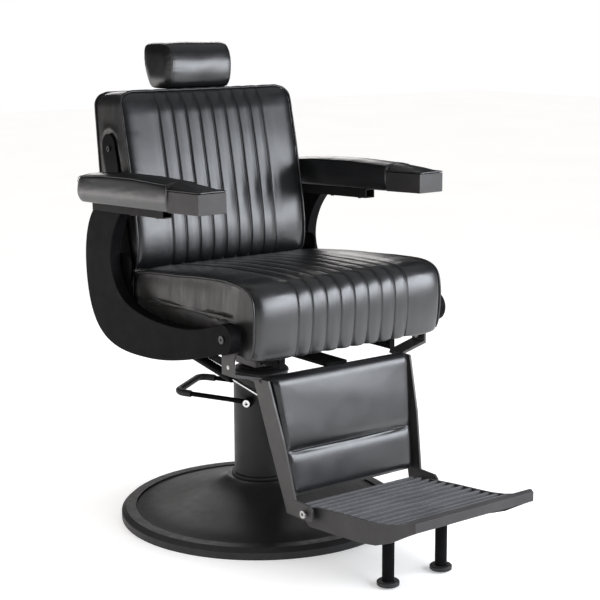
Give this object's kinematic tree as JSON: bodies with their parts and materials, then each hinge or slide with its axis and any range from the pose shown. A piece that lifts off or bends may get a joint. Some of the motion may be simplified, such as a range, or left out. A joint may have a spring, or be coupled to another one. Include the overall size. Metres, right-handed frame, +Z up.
{
  "type": "hydraulic barber chair",
  "caption": "Barber chair with a hydraulic column on a round base, channelled seat and back, C-shaped arm frames, headrest, hinged leg rest and ribbed footplate.",
  "frame": {"origin": "on the swivel axis, at the floor under the base plate", "axes": "+Z up, the sitter faces -Y, the sitter's right hand is on the -X side"},
  "size_m": [0.702, 1.132, 1.152],
  "materials": {
    "vinyl_black": "satin",
    "powder_black": "satin",
    "cast_black": "satin",
    "tread_grey": "satin",
    "rubber_black": "matte",
    "plastic_black": "matte",
    "steel": "satin",
    "bronze": "satin",
    "chrome": "polished",
    "screw_black": "satin",
    "screw_bright": "satin",
    "plywood": "matte"
  },
  "bodies": {
    "base": {"base_plate": "steel", "base_dome": "powder_black", "base_rim": "rubber_black", "column_gasket": "rubber_black", "column_jacket": "powder_black", "column_cap": "plastic_black", "hydraulic_cylinder": "steel", "cylinder_bolts": "screw_black", "pump_block": "steel", "guide_bush": "bronze", "lever_pivot_bolts": "chrome"},
    "pump_lever": {"lever_loop": "powder_black", "lever_sleeve": "rubber_black"},
    "piston": {"piston_head": "steel", "piston_seal": "rubber_black"},
    "seat": {"ram": "steel", "seat_socket": "powder_black", "mount_plate": "powder_black", "frame_screws": "screw_black", "seat_frame": "powder_black", "seat_board": "plywood", "seat_cushion": "vinyl_black", "c_arm_right": "cast_black", "c_arm_left": "cast_black", "arm_tubes": "powder_black", "arm_block_right": "cast_black", "arm_block_left": "cast_black", "arm_pad_right": "vinyl_black", "arm_pad_left": "vinyl_black", "arm_screws": "screw_black", "back_hinge_pins": "steel", "leg_hinge_bolts": "screw_black", "gas_spring_rear_pin": "steel"},
    "back": {"back_frame_right": "powder_black", "back_frame_left": "powder_black", "rear_link_pins": "steel", "back_board": "vinyl_black", "back_cushion": "vinyl_black", "back_screws": "screw_black", "headrest_socket": "powder_black"},
    "headrest": {"headrest_post": "steel", "headrest_bracket": "powder_black", "headrest_pad": "vinyl_black"},
    "leg_rest": {"leg_frame_right": "powder_black", "leg_frame_left": "powder_black", "leg_rest_pins": "steel", "leg_pad": "vinyl_black", "leg_board": "plywood", "leg_straps": "powder_black", "foot_hinge_bolts": "screw_bright", "foot_spacers": "powder_black"},
    "links": {"link_bars": "powder_black"},
    "gas_tube": {"gas_spring_tube": "powder_black"},
    "gas_rod": {"gas_spring_rod": "chrome"},
    "footplate": {"footplate_tread": "tread_grey", "footplate_frame": "powder_black", "footplate_crossbar": "powder_black", "foot_posts": "powder_black", "foot_glides": "rubber_black"}
  },
  "joints": [
    {"name": "lift", "type": "slide", "parent": "base", "child": "piston", "axis": [0, 0, 1], "range_m": [0, 0.15]},
    {"name": "swivel", "type": "hinge", "parent": "piston", "child": "seat", "pos_m": [0, 0, 0.4], "axis": [0, 0, 1], "continuous": true},
    {"name": "recline", "type": "hinge", "parent": "seat", "child": "back", "pos_m": [0, 0.19, 0.6], "axis": [-1, 0, 0], "range_deg": [0, 45]},
    {"name": "leg_rest_lift", "type": "hinge", "parent": "seat", "child": "leg_rest", "pos_m": [0, -0.292, 0.53], "axis": [-1, 0, 0], "range_deg": [0, 45]},
    {"name": "link_pivot", "type": "hinge", "parent": "back", "child": "links", "pos_m": [0, 0.212, 0.53], "axis": [-1, 0, 0], "range_deg": [-45, 0]},
    {"name": "gas_spring_pivot", "type": "hinge", "parent": "seat", "child": "gas_tube", "pos_m": [-0.18, 0.045, 0.425], "axis": [-1, 0, 0], "range_deg": [0, 6.54]},
    {"name": "gas_spring_stroke", "type": "slide", "parent": "gas_tube", "child": "gas_rod", "axis": [0, -0.9866, -0.1629], "range_m": [0, 0.1168]},
    {"name": "footplate_fold", "type": "hinge", "parent": "leg_rest", "child": "footplate", "pos_m": [0, -0.423, 0.146], "axis": [-1, 0, 0], "range_deg": [0, 80]},
    {"name": "headrest_slide", "type": "slide", "parent": "back", "child": "headrest", "axis": [0, 0.0933, 0.9956], "range_m": [0, 0.1]},
    {"name": "pump_lever_press", "type": "hinge", "parent": "base", "child": "pump_lever", "pos_m": [0, 0, 0.3], "axis": [-0.8351, -0.5501, 0], "range_deg": [0, 22], "stiffness_Nm_per_rad": 12, "springref_deg": -11.46}
  ],
  "couplings": [
    {"joint": "leg_rest_lift", "follows": "recline", "ratio": 1},
    {"joint": "link_pivot", "follows": "recline", "ratio": -1},
    {"joint": "gas_spring_pivot", "follows": "recline", "ratio": 0.141},
    {"joint": "gas_spring_stroke", "follows": "recline", "m_per_rad": 0.1475}
  ]
}
